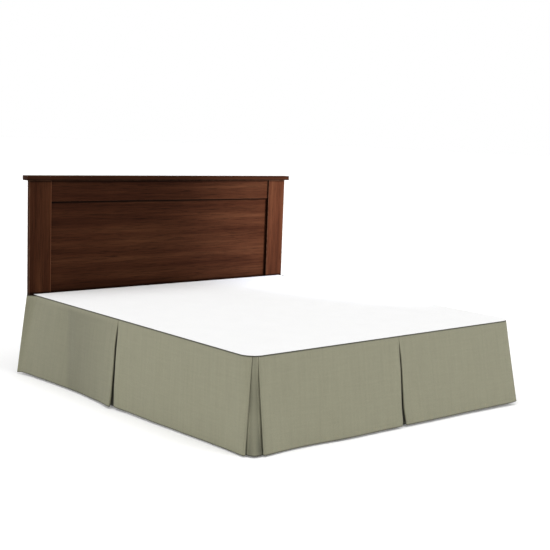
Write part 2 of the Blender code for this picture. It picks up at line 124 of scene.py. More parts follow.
# A soft trough (depth below 0) or ridge: its place at the seam and at the hem, its width and
# depth, the share of the drop over which it grows, and how much of it fades further down
Crease = namedtuple("Crease", "seam hem width depth grows fades")
# A band of painted shade, where less light falls on the cloth: its place at the seam and at
# the hem, its widths before and after that place, and how much darker it is
Band = namedtuple("Band", "seam hem before after amount")
# Half a side of the skirt, between its edges at the seam and at the hem. It is folded back
# at its end or at both edges. Its hem stands out by `waves`, rows of (share of its width,
# flare, belly). The edges of its pleats stray by `start` and `end`, rows of (share of the
# drop, along, out).
STRAIGHT = ((0, 0, 0), (1, 0, 0))
Panel = namedtuple(
    "Panel", "side seam_from seam_to hem_from hem_to folds phase waves start end creases bands",
    defaults=(STRAIGHT, STRAIGHT, (), ()))


def short_of_foot(turn):
    """How far short of the foot's line the seam is at a turn of a corner's rounding."""
    return CORNER_RADIUS - CLOTH_RADIUS * math.sin(turn)


def short_of_side(turn):
    """And how far short of the side's line."""
    return CORNER_RADIUS - CLOTH_RADIUS * math.cos(turn)


LEFT_SIDE_END = BED_LENGTH - short_of_foot(LEFT_CORNER_PLEAT - EDGE_TURN)
RIGHT_SIDE_END = BED_LENGTH - short_of_foot(RIGHT_CORNER_PLEAT - EDGE_TURN)
FOOT_START = short_of_side(LEFT_CORNER_PLEAT + EDGE_TURN)
FOOT_END = BED_WIDTH - short_of_side(RIGHT_CORNER_PLEAT + EDGE_TURN)


def painted_edge_shade(place):
    """Darker cloth along the edge of a corner pleat, as painted shade."""
    return Band(place, place, 0.009, 0.009, 0.09)


def strays(*rows):
    """The rows of a pleat's edge, which is straight as far as it is sewn."""
    return ((0, 0, 0), (0.06, 0, 0)) + rows


HEAD_HALF = Panel(
    "side", 0, SIDE_PLEAT - PLEAT_EDGE, 0.003, 0.969, "end", 0,
    waves=((0, 0.108, 0), (0.03, 0.096, 0.1), (0.1, 0.083, 0.2), (0.22, 0.073, 0.2),
           (0.48, 0.057, 0.15), (0.62, 0.053, 0.15), (0.76, 0.056, 0.18), (0.9, 0.066, 0.25),
           (1, 0.075, 0.32)),
    end=strays((0.12, -0.0012, 0), (0.22, -0.0042, -0.0015), (0.33, -0.0062, -0.0035),
               (0.48, -0.0045, -0.006), (0.63, -0.002, -0.005), (0.77, 0.002, -0.002),
               (0.89, 0.004, 0.001), (1, 0.001, 0.005)),
    creases=(Crease(0.4, 0.47, 0.07, -0.012, 0.16, 0.8),
             Crease(0.68, 0.72, 0.1, 0.005, 0.3, 0.5)),
    bands=(Band(0.43, 0.5, 0.036, 0.28, 0.13), Band(0.42, 0.45, 0.7, 0.7, 0.155)))
LEFT_FOOT_HALF = Panel(
    "side", SIDE_PLEAT + PLEAT_EDGE, LEFT_SIDE_END, 1, 2.021, "both", 1.7,
    waves=((0, 0.057, 0.1), (0.04, 0.06, 0.15), (0.13, 0.051, 0.18), (0.34, 0.043, 0.15),
           (0.52, 0.032, 0.12), (0.7, 0.02, 0.12), (0.87, 0.015, 0.08), (1, 0.013, 0)),
    start=strays((0.11, 0.0008, 0), (0.2, 0.0006, 0.001), (0.31, -0.0012, 0.0026),
                 (0.48, -0.003, 0.004), (0.63, -0.003, 0.005), (0.77, -0.004, 0.006),
                 (0.89, -0.0045, 0.005), (1, -0.004, 0.004)),
    bands=(painted_edge_shade(LEFT_SIDE_END),))
RIGHT_FOOT_HALF = LEFT_FOOT_HALF._replace(
    seam_to=RIGHT_SIDE_END, hem_to=2.02, phase=3.1,
    waves=((0, 0.057, 0.1), (0.04, 0.06, 0.15), (0.13, 0.052, 0.18), (0.34, 0.046, 0.15),
           (0.6, 0.044, 0.12), (0.8, 0.048, 0.1), (1, 0.054, 0)),
    bands=(painted_edge_shade(RIGHT_SIDE_END),))
FOOT_LEFT = Panel(
    "foot", FOOT_START, FOOT_PLEAT - PLEAT_EDGE, 0.072, 0.969, "both", 4.4,
    waves=((0, 0.048, 0), (0.07, 0.043, 0.06), (0.18, 0.038, 0.1), (0.3, 0.041, 0.12),
           (0.45, 0.053, 0.12), (0.6, 0.065, 0.12), (0.82, 0.07, 0.15), (0.95, 0.074, 0.12),
           (1, 0.072, 0.1)),
    end=strays((0.2, -0.0025, 0.001), (0.4, 0, 0.001), (0.8, -0.002, 0), (0.92, 0.002, 0),
               (1, 0, 0)),
    bands=(painted_edge_shade(FOOT_START),))
FOOT_RIGHT = Panel(
    "foot", FOOT_PLEAT + PLEAT_EDGE, FOOT_END, 1.011, 1.885, "both", 0.9,
    waves=((0, 0.074, 0.1), (0.18, 0.078, 0.12), (0.35, 0.08, 0.12), (0.56, 0.085, 0.12),
           (0.8, 0.093, 0.1), (0.92, 0.101, 0.06), (1, 0.104, 0)),
    start=strays((0.2, 0.003, 0.001), (0.4, 0.001, 0.001), (0.6, -0.004, 0), (0.8, -0.008, 0),
                 (0.92, -0.003, 0), (1, 0.001, 0)),
    bands=(painted_edge_shade(FOOT_END),))
RIGHT_HEAD_HALF = HEAD_HALF._replace(
    phase=5.2, bands=(Band(0.4, 0.44, 0.06, 0.2, 0.04),),
    creases=(Crease(0.3, 0.36, 0.1, -0.006, 0.2, 0.6),
             Crease(0.62, 0.6, 0.14, 0.003, 0.4, 0.5)))

# A straight insert: its pleat's place at the seam and at the hem, rows of (share of its
# width, flare), and its painted light at the top, painted shade at the bottom, and between
# which shares of the drop
Insert = namedtuple("Insert", "seam hem waves top bottom shade_from shade_over")
SIDE_INSERT = Insert(SIDE_PLEAT, SIDE_PLEAT_HEM, (
    (0, 0.044), (0.36, 0.042), (0.55, 0.03), (1, 0.024)), 1.4, 0.5, 0.05, 0.33)
FOOT_INSERT = Insert(FOOT_PLEAT, FOOT_PLEAT_HEM, (
    (0, 0.045), (0.35, 0.046), (0.65, 0.047), (1, 0.048)), 1.25, 0.5, 0.22, 0.4)

# A corner insert: its hem's rows of (share of its width, past the side's line, past the
# foot's), and the panels in front of it, with the share of the foot's panel at its pleat
Corner = namedtuple("Corner", "hem_rows side_panel foot_panel foot_share")
LEFT_CORNER = Corner((
    (0, -0.005, -0.09), (0.3, -0.006, -0.02), (0.41, -0.008, 0.006), (0.48, -0.014, 0.022),
    (0.54, -0.023, 0.033), (0.6, -0.036, 0.036), (0.67, -0.053, 0.034), (0.77, -0.076, 0.03),
    (1, -0.13, 0.026)),
    LEFT_FOOT_HALF, FOOT_LEFT, 0)
RIGHT_CORNER = Corner((
    (0, 0.03, -0.068), (0.25, 0.03, -0.008), (0.39, 0.025, 0.024), (0.49, 0.01, 0.046),
    (0.58, -0.01, 0.06), (0.68, -0.034, 0.064), (0.8, -0.063, 0.064), (1, -0.112, 0.064)),
    RIGHT_FOOT_HALF, FOOT_RIGHT, 1)
FLUSH = 0.0058  # how far a corner insert comes forward at its seam
FLUSH_WALL = 0.0016  # over which it drops back beside the pleat's edges
FLUSH_FROM, FLUSH_OVER = 0.05, 0.40  # shares of the drop over which it recedes

# Slow waves that pressed cloth keeps: length, height, lean towards the hem, phase
UNEVEN = ((0.43, 0.00090, 0.05, 0.3), (0.23, 0.00050, -0.03, 2.2), (0.117, 0.00022, 0.02, 4.1),
          (0.061, 0.00008, -0.01, 1.0))
UNEVEN_FROM = 0.25  # share of the drop at which the waves have their height
CREASE_FADES = 0.55  # share of the drop below which creases fade
TONE_FROM = 0.08  # share of the drop at which bands have their tone
STRAY_REACH = 0.11  # how far into a panel its edge's straying is felt


# ---- curves
def mix(first, second, share):
    return first + (second - first) * share


def steps(first, last, count):
    """The places between the first and the last, in a number of equal steps."""
    return [mix(first, last, i / count) for i in range(1, count)]


def ease(share):
    """A smooth step from 0 to 1."""
    share = min(max(share, 0.0), 1.0)
    return share * share * (3 - 2 * share)


def hump(value, middle, width):
    """A bell-shaped curve, 1 at its middle."""
    return math.exp(-((value - middle) / width) ** 2)


def smooth_row(rows, share):
    """The values after the share in a table's rows, on a smooth curve through them."""
    last = len(rows) - 1
    index = max(i for i in range(last) if i == 0 or rows[i][0] <= share)
    here, there = rows[index], rows[index + 1]
    before, after = rows[max(index - 1, 0)], rows[min(index + 2, last)]
    span = there[0] - here[0]
    t = (share - here[0]) / span
    values = []
    for column in range(1, len(here)):
        slope_here = (there[column] - before[column]) / (there[0] - before[0]) * span
        slope_there = (after[column] - here[column]) / (after[0] - here[0]) * span
        values.append((2 * t**3 - 3 * t**2 + 1) * here[column]
                      + (t**3 - 2 * t**2 + t) * slope_here
                      + (3 * t**2 - 2 * t**3) * there[column]
                      + (t**3 - t**2) * slope_there)
    return values


def seam_inset(distance):
    """How far the seam lies inside the bed's line, at a distance from a square corner."""
    if distance >= CORNER_RADIUS:
        return CLOTH / 2
    reach = CORNER_RADIUS - distance
    return CORNER_RADIUS - math.sqrt(CLOTH_RADIUS**2 - reach**2)


def turned_out(place):
    """How far the free head end of a side stands out at its top."""
    return HEAD_TURN_OUT * max(0.0, 1 - place / HEAD_TURN) ** 2


def fold_depth(down):
    return mix(FOLD_SEAM, FOLD_HEM, down)


def opened(down):
    return max(0.0, down - STITCHED / DROP) / (1 - STITCHED / DROP)


# ---- shape of the cloth
def panel_extra(panel, place, down):
    """What the finer cloth adds to its solid's shape, as (along, out)."""
    along = out = 0.0
    for edge, rows in ((panel.seam_from, panel.start), (panel.seam_to, panel.end)):
        felt = ease(1 - abs(place - edge) / STRAY_REACH)
        if felt and rows is not STRAIGHT:
            stray = smooth_row(rows, down)
            along += felt * stray[0]
            out += felt * stray[1]
    for crease in panel.creases:
        faded = crease.fades * ease((down - CREASE_FADES) / (1 - CREASE_FADES))
        shape = hump(place, mix(crease.seam, crease.hem, down), crease.width)
        out += crease.depth * shape * ease(down / crease.grows) * (1 - faded)
    for length, height, lean, phase in UNEVEN:
        out += ease(down / UNEVEN_FROM) * height * math.sin(
            2 * math.pi * (place + lean * down) / length + phase + panel.phase)
    return along, out


def panel_plan(panel, share, down):
    """A point of a panel, along and out from its side, and how far its hem is from its seam."""
    seam = mix(panel.seam_from, panel.seam_to, share)
    hem = mix(panel.hem_from, panel.hem_to, share)
    flare, belly = smooth_row(panel.waves, share)
    if panel.side == "side":
        seam_out = turned_out(seam) - seam_inset(BED_LENGTH - seam)
    else:
        seam_out = -seam_inset(min(seam, BED_WIDTH - seam))
    hem_out = flare + FRONT_OUT
    along = mix(seam, hem, opened(down))
    out = mix(seam_out, hem_out, down + belly * down * (1 - down))
    extra = panel_extra(panel, seam, down)
    return along + extra[0], out + extra[1], math.hypot(hem - seam, hem_out - seam_out)


# The panel's tone: 1 less the painted shade of its bands
def panel_tone(panel, share, down):
    place = mix(panel.seam_from, panel.seam_to, share)
    tone = 1.0
    for band in panel.bands:
        line = mix(band.seam, band.hem, down)
        width = band.after if place > line else band.before
        tone -= band.amount * hump(place, line, width) * ease(down / TONE_FROM)
    return tone


def cloth_height(reach, down):
    return SEAM_HEIGHT - down * math.sqrt(DROP**2 - reach**2)


def plan_directions(panel, share, down):
    """The directions along a panel and out from it, seen from above."""
    step = 0.002  # share of its width
    low, high = max(share - step, 0.0), min(share + step, 1.0)
    start, end = panel_plan(panel, low, down), panel_plan(panel, high, down)
    run, rise = end[0] - start[0], end[1] - start[1]
    length = math.hypot(run, rise)
    return (run / length, rise / length), (-rise / length, run / length)


def corner_places(distance):
    """Distances from a square corner at which a panel has a column on the rounding."""
    if distance >= CORNER_RADIUS:
        return []
    turn = math.asin((CORNER_RADIUS - distance) / CLOTH_RADIUS)
    count = math.ceil(turn / COLUMN_TURN)
    return [CORNER_RADIUS - CLOTH_RADIUS * math.sin(turn * (1 - i / count))
            for i in range(count)]


# Columns by a panel's pleats, and by its free end with its rounding and stitch line
NEAR_PLEAT = (0, 0.0025, 0.005, 0.008, 0.012, 0.018, 0.026)
NEAR_END = (0, 0.0001, 0.0003, 0.0006, 0.001, 0.003, 0.006, 0.009, 0.012, 0.0135, 0.0142,
            0.0149, 0.0156, 0.0163, 0.017, 0.0177, 0.0184, 0.02, 0.023, 0.027, 0.032, 0.038,
            0.045, 0.053)


def panel_places(panel):
    """Where a panel has its columns, along its seam: close by its edges and corner."""
    length = BED_LENGTH if panel.side == "side" else BED_WIDTH
    start = corner_places(panel.seam_from) if panel.side == "foot" else []
    end = corner_places(length - panel.seam_to)
    low = CORNER_RADIUS if start else panel.seam_from
    high = length - CORNER_RADIUS if end else panel.seam_to
    near = NEAR_END if panel.folds == "end" else NEAR_PLEAT
    count = round((high - low) / COLUMN_STEP)
    return [*start, *(low + step for step in near),
            *steps(low + near[-1], high - NEAR_PLEAT[-1], count),
            *(high - step for step in reversed(NEAR_PLEAT)),
            *(length - distance for distance in reversed(end))]


def fold_and_return(panel, share, inward, down):
    """Points from a pleat's edge round its fold and back behind the panel."""
    depth = fold_depth(down)
    turns = [math.pi * step / FOLD_STEPS for step in range(1, FOLD_STEPS + 1)]
    spots = [(share, depth / 2 * (1 - math.cos(turn)), -inward * depth / 2 * math.sin(turn))
             for turn in turns]
    width = panel.seam_to - panel.seam_from
    spots += [(share + inward * RETURN * step / RETURN_COLUMNS / width, depth, 0.0)
              for step in range(1, RETURN_COLUMNS + 1)]
    points = []
    for place, back, beyond in spots:
        along, out, reach = panel_plan(panel, place, down)
        tangent, normal = plan_directions(panel, place, down)
        points.append((along - normal[0] * back + tangent[0] * beyond,
                       out - normal[1] * back + tangent[1] * beyond, reach))
    return points


def panel_row(panel, down):
    """A row of a panel, with what is folded back at its pleats, and its tones."""
    width = panel.seam_to - panel.seam_from
    shares = [min(max((place - panel.seam_from) / width, 0.0), 1.0)
              for place in panel_places(panel)]
    row = [panel_plan(panel, share, down) for share in shares]
    row += fold_and_return(panel, 1.0, -1, down)
    shares += [1.0] * (FOLD_STEPS + RETURN_COLUMNS)
    if panel.folds == "both":
        row = fold_and_return(panel, 0.0, 1, down)[::-1] + row
        shares = [0.0] * (FOLD_STEPS + RETURN_COLUMNS) + shares
    tones = [panel_tone(panel, share, down) for share in shares]
    return [(along, out, cloth_height(reach, down)) for along, out, reach in row], tones


def insert_row(insert, down):
    """A row of a straight insert and its tones, with painted shade the deeper its pleat opens.
    """
    row = []
    for column in range(INSERT_COLUMNS + 1):
        share = column / INSERT_COLUMNS
        along = mix(insert.seam, insert.hem, opened(down)) + UNDERLAY_HALF * (2 * share - 1)
        hem_out = smooth_row(insert.waves, share)[0] - CLOTH / 2
        out = mix(UNDERLAY_OUT, hem_out, down)
        row.append((along, out, cloth_height(hem_out - UNDERLAY_OUT, down)))
    tone = mix(insert.top, insert.bottom, ease((down - insert.shade_from) / insert.shade_over))
    return row, [tone] * len(row)


def corner_seam(distance):
    """A corner insert's seam at a distance from its middle, past the side and the foot."""
    radius = CORNER_RADIUS + UNDERLAY_OUT
    quarter = radius * math.pi / 4
    turn = math.pi / 4 + max(-quarter, min(quarter, distance)) / radius
    beyond_side = -CORNER_RADIUS + radius * math.cos(turn) - max(distance - quarter, 0.0)
    beyond_foot = -CORNER_RADIUS + radius * math.sin(turn) - max(-distance - quarter, 0.0)
    return beyond_side, beyond_foot


def corner_plan(corner, share, down):
    """A point of a corner insert, past the side's line and past the foot's."""
    seam = corner_seam(CORNER_HALF * (2 * share - 1))
    hem = smooth_row(corner.hem_rows, share)
    reach = math.hypot(hem[0] - seam[0], hem[1] - seam[1])
    forward = down ** CORNER_HANG
    return mix(seam[0], hem[0], forward), mix(seam[1], hem[1], forward), reach


def pleat_sides(corner, down):
    """Shares of a corner insert that lie behind the edges of its pleat."""
    shares = np.linspace(*PLEAT_SEARCH)
    plan = np.array([corner_plan(corner, share, down)[:2] for share in shares])
    along, out, _ = panel_plan(corner.side_panel, 1.0, down)
    spots = [(out, along - BED_LENGTH)]
    along, out, _ = panel_plan(corner.foot_panel, corner.foot_share, down)
    spots.append((along - BED_WIDTH if corner.foot_share else -along, out))
    sides = [shares[np.argmin(np.hypot(*(plan - spot).T))] for spot in spots]
    folded = (fold_depth(down) / 2 + OUTSIDE) / CORNER_WIDTH
    return sides[0] + folded, sides[1] - folded


def corner_shares(low, high):
    """Shares of a corner insert's width at its columns, closer by its pleat's sides."""
    before, between, after = CORNER_COLUMNS
    near = [step * CLOSE_STEP / CORNER_WIDTH for step in range(CLOSE_COLUMNS)]
    return [0.0, *steps(0.0, low, before), *(low + step for step in near),
            *steps(low + near[-1], high - near[-1], between),
            *(high - step for step in reversed(near)), *steps(high, 1.0, after), 1.0]


def corner_row(corner, down):
    """A row of a corner insert, its tones, and its columns' shares of its width."""
    low, high = pleat_sides(corner, down)
    shares = corner_shares(low, high)
    sewn = FLUSH * (1 - ease((down - FLUSH_FROM) / FLUSH_OVER))
    row = []
    for share in shares:
        beyond_side, beyond_foot, reach = corner_plan(corner, share, down)
        seam = corner_seam(CORNER_HALF * (2 * share - 1))
        turn = math.atan2(seam[1] + CORNER_RADIUS, seam[0] + CORNER_RADIUS)
        inside = min(share - low, high - share) * CORNER_WIDTH - OUTSIDE
        flush = sewn * ease(inside / FLUSH_WALL)
        row.append((beyond_side + flush * math.cos(turn), beyond_foot + flush * math.sin(turn),
                    cloth_height(reach, down)))
    tones = [corner_tone(2 * (share - low) / (high - low) - 1, down) for share in shares]
    return row, tones, shares


# A corner insert gets painted shade by the left and right side of its pleat, by these
# amounts halfway down and at its hem. Right behind the pleat's edges it gets painted light.
LEFT_DARKER, RIGHT_DARKER = (0.34, 0.4), (0.14, 0.5)
LEFT_LIGHTER, RIGHT_LIGHTER = (0.1, 0.75), (0.85, 0.35)
HALFWAY, HALFWAY_REACH = 0.44, 0.2  # shares of the drop
LOWER_FROM, LOWER_OVER = 0.62, 0.33
DARKER_AT, LEFT_REACH, RIGHT_REACH = 0.95, 0.5, 0.7  # shares of half the pleat's opening
EDGE_REACH = (0.38, 0.17)  # at the seam and at the hem


def corner_tone(aside, down):
    """The painted shade and light of a corner insert; its pleat's sides are at -1 and 1."""
    upper, lower = hump(down, HALFWAY, HALFWAY_REACH), ease((down - LOWER_FROM) / LOWER_OVER)
    left, right = hump(aside, -DARKER_AT, LEFT_REACH), hump(aside, DARKER_AT, RIGHT_REACH)
    edge = mix(*EDGE_REACH, down)
    return (1 - left * (LEFT_DARKER[0] * upper + LEFT_DARKER[1] * lower)
            - right * (RIGHT_DARKER[0] * upper + RIGHT_DARKER[1] * lower)
            + hump(aside, -1, edge) * mix(*LEFT_LIGHTER, down)
            + hump(aside, 1, edge) * mix(*RIGHT_LIGHTER, lower))


ROWS = {Panel: panel_row, Insert: insert_row, Corner: corner_row}


# ---- from side to bed
HEAD_Y, FOOT_Y = CENTRE_Y + HALF_LENGTH, CENTRE_Y - HALF_LENGTH
# Where a point of each side or corner lies on the bed, and the way its cloth faces
SIDES = {
    "left": (lambda along, out: (-HALF_WIDTH - out, HEAD_Y - along), (-1, 0, 0)),
    "foot": (lambda along, out: (-HALF_WIDTH + along, FOOT_Y - out), (0, -1, 0)),
    "right": (lambda along, out: (HALF_WIDTH + out, HEAD_Y - along), (1, 0, 0)),
    "corner_left": (lambda side, foot: (-HALF_WIDTH - side, FOOT_Y - foot), (-1, -1, 0)),
    "corner_right": (lambda side, foot: (HALF_WIDTH + side, FOOT_Y - foot), (1, -1, 0))}


# ---- meshes
def put(name, data):
    """An object in the scene, with its mesh, light or camera."""
    thing = bpy.data.objects.new(name, data)
    scene.collection.objects.link(thing)
    return thing


def add_piece(name, mesh, material, slot, *replaced):
    """A finished piece that rides with the bed in place of the named solids."""
    piece = put(name, mesh)
    mesh.materials.append(material)
    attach(piece, "root")
    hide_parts(*replaced)
    return piece


def edge_round(distance):
    """Share of its thickness that cloth keeps at a distance from a free edge."""
    near = 1 - np.clip(distance / EDGE_ROUND, 0.0, 1.0)
    return np.maximum(np.sqrt(1 - near**2), EDGE_LEAST)


def groove(distance):
    """Dip of a stitch line at a distance from it."""
    return GROOVE * np.exp(-(distance / GROOVE_HALF * 2) ** 2)


# Rows of hanging cloth: below its seam, from its hem's stitch line, and above its hem
SEAM_ROWS = (0, 0.0003, 0.0008, 0.0016, 0.003, 0.005, 0.008)
LINE_ROWS = (-0.003, -0.0014, -0.0007, 0, 0.0007, 0.0014, 0.003, 0.008)
HEM_ROWS = (0.011, 0.005, 0.0022, 0.0012, 0.0007, 0.0003, 0.0001, 0)


def drop_rows():
    """Distances below the seam at which the hanging cloth has a row."""
    first, last = SEAM_ROWS[-1], DROP - HEM + LINE_ROWS[0]
    return np.array([*SEAM_ROWS, *steps(first, last, round((last - first) / ROW_STEP)),
                     *(DROP - HEM + step for step in LINE_ROWS),
                     *(DROP - step for step in HEM_ROWS)])


def mesh_of(body, name):
    """A smooth mesh of a body under construction, its faces turned outwards."""
    bmesh.ops.recalc_face_normals(body, faces=body.faces)
    mesh = bpy.data.meshes.new(name)
    body.to_mesh(mesh)
    body.free()
    mesh.shade_smooth()
    return mesh


def upright(points):
    """What stands upright on a grid of points, at each of them."""
    return np.cross(np.gradient(points, axis=1), np.gradient(points, axis=0))


def quads(grid):
    """The faces between the points of a grid."""
    return np.stack([grid[:-1, :-1], grid[1:, :-1], grid[1:, 1:], grid[:-1, 1:]],
                    axis=-1).reshape(-1, 4)


def sheet_mesh(name, points, outside, inside, uv):
    """A closed sheet through a grid of points, with its face and back at those distances
    from them, and a map in metres of cloth."""
    normals = upright(points)
    normals /= np.linalg.norm(normals, axis=2, keepdims=True)
    face = points + normals * outside[..., None]
    back = points - normals * inside[..., None]
    rows, columns, _ = points.shape
    index, shift = np.arange(rows * columns).reshape(rows, columns), rows * columns
    ring = np.concatenate([index[0, :-1], index[:-1, -1], index[-1, :0:-1], index[:0:-1, 0]])
    after = np.roll(ring, -1)
    faces = np.concatenate([quads(index), quads(index + shift)[:, [0, 3, 2, 1]],
                            np.stack([ring, after, after + shift, ring + shift], axis=-1)])
    grid = bpy.data.meshes.new("grid")
    grid.from_pydata(np.concatenate([face.reshape(-1, 3), back.reshape(-1, 3)]).tolist(), [],
                     faces.tolist())
    flat = np.concatenate([uv.reshape(-1, 2)] * 2)
    layer = grid.uv_layers.new(name="cloth")
    layer.data.foreach_set("uv", flat[faces.reshape(-1)].astype(np.float32).reshape(-1))
    shell = bmesh.new()
    shell.from_mesh(grid)
    bpy.data.meshes.remove(grid)
    return mesh_of(shell, name)


def hang(name, node, shape, side, material):
    """A piece of the skirt, hung from its seam in place of its solid."""
    locate, facing = SIDES[side]
    down = drop_rows()
    rows, tone, *shares = zip(*[ROWS[type(shape)](shape, share) for share in down / DROP])
    tone = np.array(tone)
    points = np.array([[(*locate(first, second), height) for first, second, height in row]
                       for row in rows])
    middle = len(down) // 2
    steps = np.linalg.norm(np.diff(points[middle], axis=0), axis=1)
    along = np.concatenate([[0.0], np.cumsum(steps)])
    uv = np.stack(np.meshgrid(along, down), axis=-1)
    if shares:
        uv[..., 0] = np.array(shares[0]) * CORNER_WIDTH

    keep, inside, outside = (row[:, None] * np.ones(len(along)) for row in (
        edge_round(DROP - down) * edge_round(down * 1.5 + 0.0001),  # tighter at the seam
        np.where(down > DROP - HEM, HEM_INSIDE, INSIDE),
        OUTSIDE - groove(down - (DROP - HEM))))
    if isinstance(shape, Panel) and shape.folds == "end":
        keep = keep * edge_round(along)
        inside = np.maximum(inside, np.where(along < SIDE_HEM, HEM_INSIDE, 0.0))
        outside = outside - groove(along - SIDE_HEM)
    # the face has to look outwards
    if np.dot(upright(points)[middle, len(along) // 2], facing) < 0:
        points, uv, tone, keep, inside, outside = (
            grid[:, ::-1] for grid in (points, uv, tone, keep, inside, outside))
    mesh = sheet_mesh(name, points, outside * keep, inside * keep, uv)
    # the tone carries painted shade and painted light into the cloth's colour
    tones = np.concatenate([tone.reshape(-1)] * 2).astype(np.float32)
    mesh.attributes.new("tone", "FLOAT", "POINT").data.foreach_set("value", tones)
    piece = add_piece(name, mesh, material, "face_cloth", node)


# ---- materials
class Shading:
    """A node material under construction."""

    def __init__(self, name, roughness, **sockets):
        self.material = bpy.data.materials.new(name)
        self.material.use_nodes = True
        self.nodes = self.material.node_tree.nodes
        self.links = self.material.node_tree.links
        self.shader = self.nodes["Principled BSDF"]
        self.shader.inputs["Roughness"].default_value = roughness
        for socket, value in sockets.items():
            self.feed(self.shader.inputs[socket.replace("_", " ")], value)

    def feed(self, socket, value):
        """Gives a socket another output, or a number, a vector or a colour."""
        if isinstance(value, bpy.types.NodeSocket):
            self.links.new(value, socket)
        else:
            socket.default_value = (*value, 1.0) if socket.type == "RGBA" else value

    def add(self, kind, settings=None, **inputs):
        """A node with its settings and inputs; an input is a number or another output."""
        made = self.nodes.new(kind)
        for key, value in (settings or {}).items():
            setattr(made, key, value)
        for key, value in inputs.items():
            self.feed(made.inputs[key.replace("_", " ")], value)
        return made

    def math(self, operation, first, second=0.0, third=0.0):
        made = self.add("ShaderNodeMath", {"operation": operation})
        for socket, value in zip(made.inputs, (first, second, third)):
            self.feed(socket, value)
        return made.outputs[0]

    def weighed(self, first, share, second, other):
        """Two values, each times its share, added up."""
        return self.math("ADD", self.math("MULTIPLY", first, share),
                         self.math("MULTIPLY", second, other))

    def attribute(self, name):
        return self.add("ShaderNodeAttribute", {"attribute_name": name}).outputs["Fac"]

    def object_place(self):
        return self.add("ShaderNodeTexCoord").outputs["Object"]

    def noise(self, vector, scale, detail=2.0, roughness=0.5, distortion=0.0,
              offset=(0.0, 0.0, 0.0)):
        """Noise at a scale, or at one for each axis."""
        if isinstance(scale, tuple):
            vector = self.add("ShaderNodeMapping", None, Vector=vector, Scale=scale,
                              Location=offset).outputs["Vector"]
            scale = 1.0
        return self.add("ShaderNodeTexNoise", None, Vector=vector, Scale=scale, Detail=detail,
                        Roughness=roughness, Distortion=distortion).outputs["Fac"]

    def mapped(self, value, low, high, settings=None, **inputs):
        """A value from 0 to 1 spread from low to high."""
        return self.add("ShaderNodeMapRange", settings, Value=value, To_Min=low, To_Max=high,
                        **inputs).outputs[0]

    def times(self, colour, factor):
        return self.add("ShaderNodeVectorMath", {"operation": "SCALE"},
                        Vector=colour, Scale=factor).outputs["Vector"]

    def ramp(self, fac, *stops):
        """Colours or greys between places along a value."""
        made = self.add("ShaderNodeValToRGB", None, Fac=fac)
        while len(made.color_ramp.elements) < len(stops):
            made.color_ramp.elements.new(0.5)
        for element, (place, colour) in zip(made.color_ramp.elements, stops):
            element.position = place
            element.color = (*(colour if isinstance(colour, tuple) else (colour,) * 3), 1.0)
        return made.outputs["Color"]

    def blend(self, fac, first, second, kind="MIX"):
        made = self.add("ShaderNodeMix", {"data_type": "RGBA", "blend_type": kind}, Factor=fac)
        self.feed(made.inputs[6], first)
        self.feed(made.inputs[7], second)
        return made.outputs[2]

    def tinted(self, colour, value, low, high):
        """A colour made darker or lighter as a value goes from 0 to 1."""
        return self.times(colour, self.mapped(value, low, high))

    def painted_shading(self, colour, value, start, end, tone):
        """Painted shade and light: a colour that goes softly to a tone as a value goes from
        start to end.
        """
        soft = {"interpolation_type": "SMOOTHSTEP"}
        return self.times(colour, self.mapped(value, 1.0, tone, soft,
                                              From_Min=start, From_Max=end))

    def finish(self, colour, height, distance, roughness=None, strength=1.0):
        self.links.new(colour, self.shader.inputs["Base Color"])
        bump = self.add("ShaderNodeBump", None, Height=height, Distance=distance,
                        Strength=strength)
        self.links.new(bump.outputs["Normal"], self.shader.inputs["Normal"])
        if roughness is not None:
            self.links.new(roughness, self.shader.inputs["Roughness"])
        return self.material


STITCH_HALF = 0.00045  # half the width of a stitch's thread
STITCHED_SHARE = 0.74  # share of a stitch that its thread covers
SEAM_TONE, HEM_TONE = 0.17, 0.32  # of the cloth in its painted shade by the seam and the hem
TIGHT_SEAM, TIGHT_HEM = 0.002, 0.0014  # the distances at which it has them


